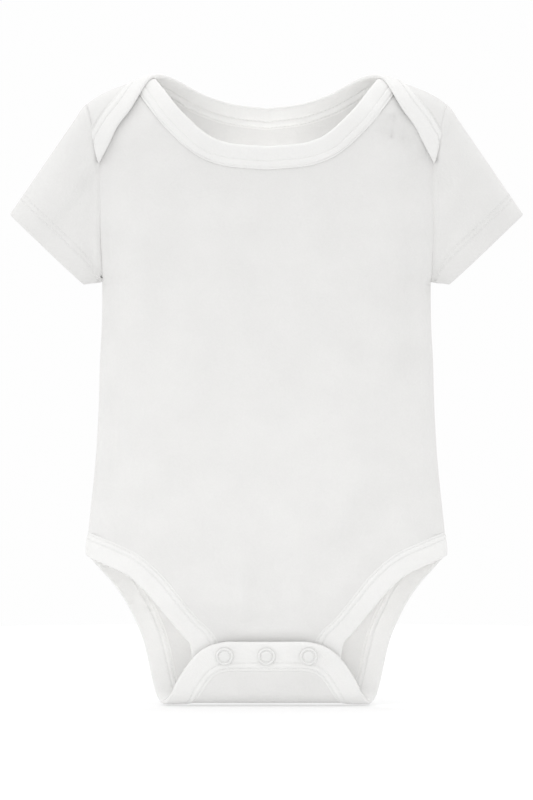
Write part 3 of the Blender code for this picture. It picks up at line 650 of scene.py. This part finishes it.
def band_section(width, rows):
    """Half of the band's section: distances in from its finished edge, with a height over the middle.
    It is low at the cut edge, drawn in by each row of stitching, and fullest beside the first row."""
    near_rows = [np.linspace(row - 0.0010, row + 0.0010, 7) for row in rows]
    away = np.unique(np.round(np.concatenate([np.linspace(BAND_RADIUS, width + 0.0007, 12), *near_rows]), 6))
    height = BAND_RADIUS - 0.00060 * eased(max(rows) - 0.0012, width + 0.0004, away)
    height = height + 0.00020 * np.sin(np.clip(away / min(rows), 0, 1) * math.pi)
    for row in rows:
        height = height - 0.00032 * np.exp(-((away - row) / 0.00055) ** 2)
    bend = np.linspace(0, math.pi / 2, 5)[1:]
    away = np.concatenate([away[::-1], BAND_RADIUS * (1 - np.sin(bend))])
    return away, np.concatenate([height[::-1], BAND_RADIUS * np.cos(bend)])


BAND_RADIUS = 0.00125
STITCH, STITCH_PITCH, THREAD = 0.0021, 0.0027, 0.00026


def band_piece(name, inner, outer, widths, rows, nodes, rows_from=None):
    """A folded band between a cut edge and a finished edge, with its stitches on both faces.
    rows are the stitching's distances from the finished edge where the band has its first width."""
    start = on_cloth(inner)
    chords = np.linalg.norm(on_cloth(outer) - start, axis=-1)
    base = rows_from or widths[0]
    half_away, half_height = band_section(base, rows)
    away = np.concatenate([half_away, half_away[-2::-1]])
    height = np.concatenate([half_height, -half_height[-2::-1]])
    reach = half_away[0]
    path = np.concatenate([[0], np.cumsum(np.linalg.norm(np.diff(start, axis=0), axis=-1))])

    def at(station, distance, lift):
        full = distance * widths[station] / base
        room = chords[station] + (reach - base) - 0.02 * (reach - distance)
        share = 1 - np.minimum(full, room) / chords[station]
        places = inner[station] + (outer[station] - inner[station]) * share[..., None]
        places[..., 0] = inner[station][..., 0]
        normal = cloth_normals(places)
        return on_cloth(places) + normal * (lift - CLOTH / 2)[..., None], normal, full < room

    def place(across, up):
        station = np.round(up * (len(inner) - 1)).astype(int)
        index = np.round(across * (len(away) - 1)).astype(int)
        points, _, _ = at(station, away[index], height[index])
        return points, np.stack([path[station], away[index] * np.sign(height[index])], axis=-1)

    mesh = cloth_mesh(name, len(away) - 1, len(inner) - 1, place)
    piece = cloth_piece(name, mesh, BAND_CLOTH, binding_knit, nodes)
    stations = np.arange(len(inner))
    lines = []
    for row in rows:
        lift = np.interp(row, half_away[::-1], half_height[::-1]) + 0.00009
        for face in (1, -1):
            points, normal, clear = at(stations, np.full(len(inner), row), np.full(len(inner), face * lift))
            lines.append((points[clear], face * normal[clear]))
    stitches(name.replace("band", "stitching"), lines)
    return piece


def stitches(name, lines):
    """One mesh of plump stitches laid end to end along lines of points and normals."""
    bm = bmesh.new()
    bmesh.ops.create_uvsphere(bm, u_segments=6, v_segments=5, radius=1.0)
    ball = np.array([vert.co for vert in bm.verts])
    faces = [[vert.index for vert in face.verts] for face in bm.faces]
    bm.free()
    corners, sides = [], []
    for points, normals in lines:
        if len(points) < 3:
            continue
        lengths = np.concatenate([[0], np.cumsum(np.linalg.norm(np.diff(points, axis=0), axis=-1))])
        for centre in np.arange(STITCH_PITCH / 2, lengths[-1], STITCH_PITCH):
            ends = [np.array([np.interp(centre + way * STITCH / 2, lengths, column) for column in points.T])
                    for way in (-1, 1)]
            normal = np.array([np.interp(centre, lengths, column) for column in normals.T])
            ahead = ends[1] - ends[0]
            ahead /= np.linalg.norm(ahead)
            aside = np.cross(normal, ahead)
            aside /= np.linalg.norm(aside)
            spin = np.stack([ahead * STITCH * 0.55, aside * THREAD, np.cross(ahead, aside) * THREAD])
            base = len(corners) * len(ball)
            corners.append(ball @ spin + (ends[0] + ends[1]) / 2 - np.array([0.0, 0.0, HELD_HEIGHT]))
            sides.extend([[base + index for index in face] for face in faces])
    mesh = bpy.data.meshes.new(name)
    mesh.from_pydata(np.concatenate(corners).tolist(), [], sides)
    mesh.shade_smooth()
    mesh.materials.append(thread)
    run = bpy.data.objects.new(name, mesh)
    bpy.context.scene.collection.objects.link(run)
    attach(run, "root")
    return run


thread = bpy.data.materials.new("polyester_thread")
thread.use_nodes = True
thread_tree = thread.node_tree
thread_place = add_node(thread_tree, "ShaderNodeTexCoord").outputs["Object"]
ply = add_node(thread_tree, "ShaderNodeTexWave", {"Vector": thread_place, "Scale": 1400.0, "Distortion": 3.0})
ply_bump = add_node(thread_tree, "ShaderNodeBump", {
    "Height": ply.outputs["Fac"], "Strength": 0.4, "Distance": 0.00008})
thread_shader = thread_tree.nodes["Principled BSDF"]
thread_tree.links.new(ply_bump.outputs[0], thread_shader.inputs["Normal"])
thread_shader.inputs["Base Color"].default_value = (0.76, 0.76, 0.75, 1)
thread_shader.inputs["Roughness"].default_value = 0.55


def mirrored(places):
    turned = places[::-1].copy()
    turned[:, 1] *= -1
    return turned


# The front's neck band ends under the laps, on the ridge of each shoulder.
NECK_ROWS = (0.0090, 0.0131)
dense = np.linspace(0.0, 1.0, 600)
tops = top_edge(FRONT_EDGE, -1, dense)
last = int(np.argmax(tops > climb_at(90) - 1e-5))
half = np.stack([-np.ones(last + 1), dense[:last + 1], tops[:last + 1]], axis=-1)
neck_inner = evenly(np.concatenate([mirrored(half), half[1:]]), 0.0019)
neck_widths = np.full(len(neck_inner), NECK_BAND)
neck_outer = finished_edge(neck_inner, neck_widths, True, 5)
tip_turn = float(turn_of(SHOULDER_POINT, FRONT_TIP))
neck_outer[0, 1:], neck_outer[-1, 1:] = (-tip_turn, climb_at(90)), (tip_turn, climb_at(90))
neck_outer[:, 2] = np.minimum(neck_outer[:, 2], climb_at(90))
neck_front = band_piece(
    "neck_band_front", neck_inner, neck_outer, neck_widths, NECK_ROWS, ["neck_binding_front"])

# The back's neck band runs on down both laps, until the sleeves' seams cut it to a point.
tops = top_edge(BACK_EDGE, 1, dense)
last = int(np.argmax(dense >= SHORT_OF_SLEEVE))
half = np.stack([np.ones(last + 1), dense[:last + 1], tops[:last + 1]], axis=-1)
half[-1, 1] = SHORT_OF_SLEEVE
half_inner = evenly(half, 0.0020)
whole_inner = np.concatenate([mirrored(half_inner), half_inner[1:]])
whole_outer = finished_edge(whole_inner, np.full(len(whole_inner), NECK_BAND), False, 5)
half_outer = whole_outer[len(half_inner) - 1:]
keep = half_outer[:, 1] < SHORT_OF_SLEEVE - 0.004
half_inner, half_outer = half_inner[keep], half_outer[keep]
tip_climb = climb_at(LAP_TIP[1])
tail = np.linspace(0, 1, 22)[1:]
start_x = float(back(half_outer[-1, 1], half_outer[-1, 2])[0])
tail_x = start_x + (LAP_TIP[0] - start_x) * tail
tail_climb = half_outer[-1, 2] + (tip_climb - half_outer[-1, 2]) * tail
tail_height = np.minimum(CHEST_TOP, 2 * CHEST_TOP + math.pi * SHOULDER_ARC - tail_climb)
tail_turn = np.minimum(turn_of(tail_height, tail_x), SHORT_OF_SLEEVE)
tail_outer = np.stack([np.ones(21), tail_turn, tail_climb], axis=-1)
seam_climb = half_inner[-1, 2] + (tip_climb - 0.0015 - half_inner[-1, 2]) * tail
seam_turn = half_inner[-1, 1] + (SHORT_OF_SLEEVE - half_inner[-1, 1]) * np.minimum(tail * 4, 1)
tail_inner = np.stack([np.ones(21), seam_turn, seam_climb], axis=-1)
half_inner = np.concatenate([half_inner, tail_inner])
half_outer = np.concatenate([half_outer, tail_outer])
lap_inner = np.concatenate([mirrored(half_inner), half_inner[1:]])
lap_outer = np.concatenate([mirrored(half_outer), half_outer[1:]])
lap_widths = np.full(len(lap_inner), NECK_BAND)
neck_back = band_piece(
    "neck_band_back", lap_inner, lap_outer, lap_widths, NECK_ROWS, ["neck_binding_back"])

# The legs' band is one strip: from the placket up the front of the left leg to the hip, down the back and
# round the fold, over the top of the flap, and the same way back along the right leg.
PLACKET_HALF_WIDTH = 0.0312
SQUARED_BELOW, LOWEST = 0.0534, 0.0190
END_EDGE = ((0.0190, 0.0455), (0.0260, 0.0472), (0.0370, 0.0492), (0.0435, 0.0546))
LEG_ROWS = (0.0113, 0.0142)
front_climbs = np.linspace(LOWEST, HIP_CORNER, 240)
back_climbs = np.linspace(HIP_CORNER, FLAP_START, 420)
flap_turns = np.linspace(1.0, -1.0, 90)[1:-1]
top_turn = float(back_turn(np.array(FLAP_START)))
up_front = np.stack([-np.ones(240), front_turn(front_climbs), front_climbs], axis=-1)
down_back = np.stack([np.ones(420), back_turn(back_climbs), back_climbs], axis=-1)
over_flap = np.stack([np.ones(88), column_turn(flap_turns, top_turn), np.full(88, FLAP_START)], axis=-1)
front_run, back_run = evenly(up_front, 0.0020), evenly(down_back, 0.0018)
leg_inner = np.concatenate([
    front_run, back_run, evenly(over_flap, 0.0018), mirrored(back_run), mirrored(front_run)])
on_flap = 1 - eased(FOLD_RADIUS - FOLD_ARC, FOLD_RADIUS, leg_inner[:, 2])
at_top = 1 - eased(FLAP_START, FLAP_START + 0.006, leg_inner[:, 2])
behind = leg_inner[:, 0] > 0
leg_widths = np.where(behind, LEG_BAND + (FLAP_SIDE_BAND - LEG_BAND) * on_flap, LEG_BAND)
leg_widths = np.where(behind, leg_widths + (FLAP_TOP_BAND - FLAP_SIDE_BAND) * at_top, leg_widths)
leg_widths = smoothed(leg_widths[:, None], 3)[:, 0]
leg_outer = finished_edge(leg_inner, leg_widths, False, 3)
ends = ~behind & (leg_inner[:, 2] < SQUARED_BELOW)
down = (SQUARED_BELOW - leg_inner[ends, 2]) / (SQUARED_BELOW - LOWEST)
leg_outer[ends, 2] = END_EDGE[-1][0] + (LOWEST - END_EDGE[-1][0]) * down
end_turn = turn_of(leg_outer[ends, 2], along(END_EDGE, leg_outer[ends, 2]))
leg_outer[ends, 1] = np.sign(leg_inner[ends, 1]) * end_turn
chords = np.linalg.norm(on_cloth(leg_outer[ends]) - on_cloth(leg_inner[ends]), axis=-1)
leg_widths[ends] = np.maximum(chords, LEG_BAND)
leg_band = band_piece(
    "leg_band", leg_inner, leg_outer, leg_widths, LEG_ROWS,
    ["leg_binding_left", "leg_binding_right", "flap_binding"], rows_from=LEG_BAND)

# The placket's band is folded up over the front's end, under the flap, and carries the studs.
PLACKET_END = 0.0166
across = np.linspace(-PLACKET_HALF_WIDTH, PLACKET_HALF_WIDTH, 48)
placket_turn = np.sign(across) * turn_of(np.full(48, PLACKET_TOP), np.abs(across))
placket_inner = np.stack([-np.ones(48), placket_turn, np.full(48, PLACKET_TOP - 0.0003)], axis=-1)
placket_outer = placket_inner.copy()
placket_outer[:, 2] = PLACKET_END
placket_band = band_piece(
    "placket_band", placket_inner, placket_outer, np.full(48, PLACKET_TOP - PLACKET_END), (0.0130, 0.0160),
    ["placket_binding"])

# ---------------------------------------------------------------------------------------------------
# Snaps. Three moulded ring snaps, closed: a cap outside the flap, its socket inside, and a stud on the
# placket. Each cap is a raised ring with a groove round a low domed disc.
# ---------------------------------------------------------------------------------------------------
SNAP_HEIGHT, SNAP_SPACING = 0.0311, 0.0267
CAP_PROFILE = (
    (0.0, 0.00150), (0.0012, 0.00149), (0.0022, 0.00145), (0.0029, 0.00138), (0.00325, 0.00128),
    (0.00345, 0.00112), (0.00355, 0.00094), (0.00375, 0.00086), (0.00400, 0.00088), (0.00412, 0.00104),
    (0.00425, 0.00134), (0.00445, 0.00152), (0.00475, 0.00162), (0.00510, 0.00158), (0.00538, 0.00142),
    (0.00560, 0.00112), (0.00572, 0.00070), (0.00576, 0.00030), (0.00560, 0.00004), (0.00500, 0.0), (0.0, 0.0),
)
BACKING_PROFILE = (
    (0.0, 0.0013), (0.0020, 0.0013), (0.0042, 0.00128), (0.00465, 0.00112), (0.0048, 0.00080),
    (0.0048, 0.00040), (0.00465, 0.00010), (0.0043, 0.0), (0.0, 0.0),
)
snap_enamel = bpy.data.materials.new("snap_plastic")
snap_enamel.use_nodes = True
snap_tree = snap_enamel.node_tree
snap_place = add_node(snap_tree, "ShaderNodeTexCoord").outputs["Object"]
mottle = add_node(snap_tree, "ShaderNodeTexNoise", {"Vector": snap_place, "Scale": 700.0, "Detail": 2.0})
snap_gloss = add_node(snap_tree, "ShaderNodeMapRange", {
    "Value": mottle.outputs["Fac"], "From Min": 0.3, "From Max": 0.7, "To Min": 0.30, "To Max": 0.42})
snap_bump = add_node(snap_tree, "ShaderNodeBump", {
    "Height": mottle.outputs["Fac"], "Strength": 0.12, "Distance": 0.0001})
snap_shader = snap_tree.nodes["Principled BSDF"]
snap_tree.links.new(snap_gloss.outputs[0], snap_shader.inputs["Roughness"])
snap_tree.links.new(snap_bump.outputs[0], snap_shader.inputs["Normal"])
snap_shader.inputs["Base Color"].default_value = (0.72, 0.72, 0.71, 1)


def turned_set(name, profile, lift, nodes):
    """Three turned pieces in one mesh, each on an axis square to the flap."""
    bm = bmesh.new()
    for x in (-SNAP_SPACING, 0.0, SNAP_SPACING):
        turn = np.sign(x) * turn_of(np.array(SNAP_HEIGHT), abs(x))
        climb = np.array(2 * FOLD_RADIUS - FOLD_ARC - SNAP_HEIGHT)
        normal = Vector(plain_normals(1, turn, climb))
        base = Vector(back(turn, climb)) + normal * lift - Vector((0.0, 0.0, HELD_HEIGHT))
        stand = Matrix.Translation(base) @ normal.to_track_quat("Z", "Y").to_matrix().to_4x4()
        line = [bm.verts.new(stand @ Vector((radius, 0.0, height))) for radius, height in profile]
        edges = [bm.edges.new(pair) for pair in zip(line, line[1:])]
        bmesh.ops.spin(
            bm, geom=line + edges, cent=base, axis=normal, angle=2 * math.pi, steps=48, use_merge=True)
    bmesh.ops.remove_doubles(bm, verts=bm.verts[:], dist=1e-6)
    bmesh.ops.recalc_face_normals(bm, faces=bm.faces[:])
    mesh = bpy.data.meshes.new(name)
    bm.to_mesh(mesh)
    bm.free()
    mesh.shade_smooth()
    mesh.materials.append(snap_enamel)
    piece = bpy.data.objects.new(name, mesh)
    bpy.context.scene.collection.objects.link(piece)
    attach(piece, "root")
    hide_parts(*nodes)


FACE, BACKING, SNAP_GAP = 0.0010, 0.0013, 0.0003
turned_set("snap_caps", CAP_PROFILE, FACE, [f"snap_cap_{n}" for n in (1, 2, 3)])
turned_set("snap_sockets", BACKING_PROFILE, -CLOTH - FACE - BACKING, [f"snap_socket_{n}" for n in (1, 2, 3)])
turned_set(
    "snap_studs", BACKING_PROFILE, -CLOTH - FACE - 2 * BACKING - SNAP_GAP,
    [f"snap_stud_{n}" for n in (1, 2, 3)])

# ---------------------------------------------------------------------------------------------------
# Stitching of the sleeves' hems: two rows of coverstitch outside, and the same two seen inside.
# ---------------------------------------------------------------------------------------------------
for side_name, mirror in (("left", 1), ("right", -1)):
    around = np.linspace(0, 1, SLEEVE_COLUMNS + 1)
    hem_lines = []
    for row in HEM_ROWS:
        _, length = sleeve_form(around, np.zeros_like(around))
        points, normal, _ = sleeve_outside(around, 1 - near(row, length) / length, mirror)
        way = np.array([mirror, 1.0, 1.0])
        hem_lines.append(((points + normal * 0.00008) * way, normal * way))
        inner_face = points - normal * (2 * HEM_TURN + 0.0001)
        hem_lines.append((inner_face * way, -normal * way))
    stitches(f"hem_stitching_{side_name}", hem_lines)

# ---------------------------------------------------------------------------------------------------
# Floor, light and camera. A white floor just under the crotch, glowing with painted light that is dimmer near
# its middle, and soft light all round and from above.
# ---------------------------------------------------------------------------------------------------
FLOOR_RADIUS, FLOOR_HEIGHT = 0.80, -0.4016
bm = bmesh.new()
bmesh.ops.create_circle(
    bm, cap_ends=True, segments=128, radius=FLOOR_RADIUS,
    matrix=Matrix.Translation((0, 0, FLOOR_HEIGHT)))
floor_mesh = bpy.data.meshes.new("floor")
bm.to_mesh(floor_mesh)
bm.free()
floor = bpy.data.objects.new("floor", floor_mesh)
bpy.context.scene.collection.objects.link(floor)
floor_paint = bpy.data.materials.new("floor_paint")
floor_paint.use_nodes = True
floor_tree = floor_paint.node_tree
floor_place = add_node(floor_tree, "ShaderNodeTexCoord").outputs["Object"]
# Painted light: the floor glows, least near its middle under the garment and most towards its rim. This gives
# a painted shade round the garment's foot and painted light further out.
from_middle = add_node(floor_tree, "ShaderNodeVectorMath", {0: floor_place}, operation="LENGTH")
floor_painted_glow = add_node(floor_tree, "ShaderNodeMapRange", {
    "Value": from_middle.outputs["Value"],
    "From Min": 0.05, "From Max": 0.55, "To Min": 0.19, "To Max": 0.36})
floor_shader = floor_tree.nodes["Principled BSDF"]
floor_shader.inputs["Base Color"].default_value = (0.62, 0.62, 0.62, 1)
floor_shader.inputs["Roughness"].default_value = 1.0
floor_shader.inputs["Emission Color"].default_value = (1, 1, 1, 1)
floor_tree.links.new(floor_painted_glow.outputs[0], floor_shader.inputs["Emission Strength"])
floor_mesh.materials.append(floor_paint)

world = bpy.data.worlds.new("studio")
world.use_nodes = True
world.node_tree.nodes["Background"].inputs["Color"].default_value = (1, 1, 1, 1)
world.node_tree.nodes["Background"].inputs["Strength"].default_value = 0.99
bpy.context.scene.world = world
bpy.context.scene.view_settings.view_transform = "Standard"


def soft_box(name, place, aim, size, power):
    """A rectangular light at a place, turned to its aim."""
    light = bpy.data.lights.new(name, "AREA")
    light.shape = "RECTANGLE"
    light.size, light.size_y = size
    light.energy = power
    box = bpy.data.objects.new(name, light)
    bpy.context.scene.collection.objects.link(box)
    box.location = place
    box.rotation_euler = (Vector(aim) - Vector(place)).to_track_quat("-Z", "Y").to_euler()


soft_box("overhead", (0.0, 0.1, 1.3), (0.0, 0.0, -0.4), (1.4, 1.4), 7.0)
soft_box("left_window", (-2.0, -0.8, 0.1), (0.0, 0.0, -0.2), (1.0, 1.4), 5.6)
soft_box("right_fill", (2.0, -0.5, -0.2), (0.0, 0.0, -0.25), (1.0, 1.4), 2.4)
soft_box("front_fill", (-0.2, -2.6, -0.3), (0.0, 0.0, -0.35), (1.6, 0.9), 2.2)

# A wide soft spot from low in front, on the flap and the lower belly
low_light = bpy.data.lights.new("low_fill", "SPOT")
low_light.energy = 27.0
low_light.spot_size = math.radians(17)
low_light.spot_blend = 1.0
low_light.shadow_soft_size = 0.25
low_fill = bpy.data.objects.new("low_fill", low_light)
bpy.context.scene.collection.objects.link(low_fill)
low_fill.location = (-0.1, -2.0, -0.30)
low_way = Vector((0.0, 0.0, -0.40)) - low_fill.location
low_fill.rotation_euler = low_way.to_track_quat("-Z", "Y").to_euler()


def inside_fill(name, place, power):
    """A small lamp in the hollow, which stands for the light that white knit lets through."""
    light = bpy.data.lights.new(name, "POINT")
    light.energy = power
    light.shadow_soft_size = 0.02
    lamp = bpy.data.objects.new(name, light)
    bpy.context.scene.collection.objects.link(lamp)
    lamp.location = place
    lamp.visible_camera = False


inside_fill("chest_fill", (0.0, -0.004, -0.10), 0.105)
inside_fill("hip_fill", (0.0, 0.0, -0.30), 0.092)

CAMERA_DISTANCE = 2.2
SENSOR = 36.0                       # millimetres
FRAME_HEIGHT = 0.512                # what the frame's height takes in, at the garment
camera_data = bpy.data.cameras.new("camera")
camera_data.sensor_width = SENSOR
camera_data.lens = SENSOR * CAMERA_DISTANCE / FRAME_HEIGHT
camera = bpy.data.objects.new("camera", camera_data)
bpy.context.scene.collection.objects.link(camera)
camera.location = (0.0, -CAMERA_DISTANCE, -0.2061)
camera.rotation_euler = (math.pi / 2, 0.0, 0.0)
bpy.context.scene.camera = camera
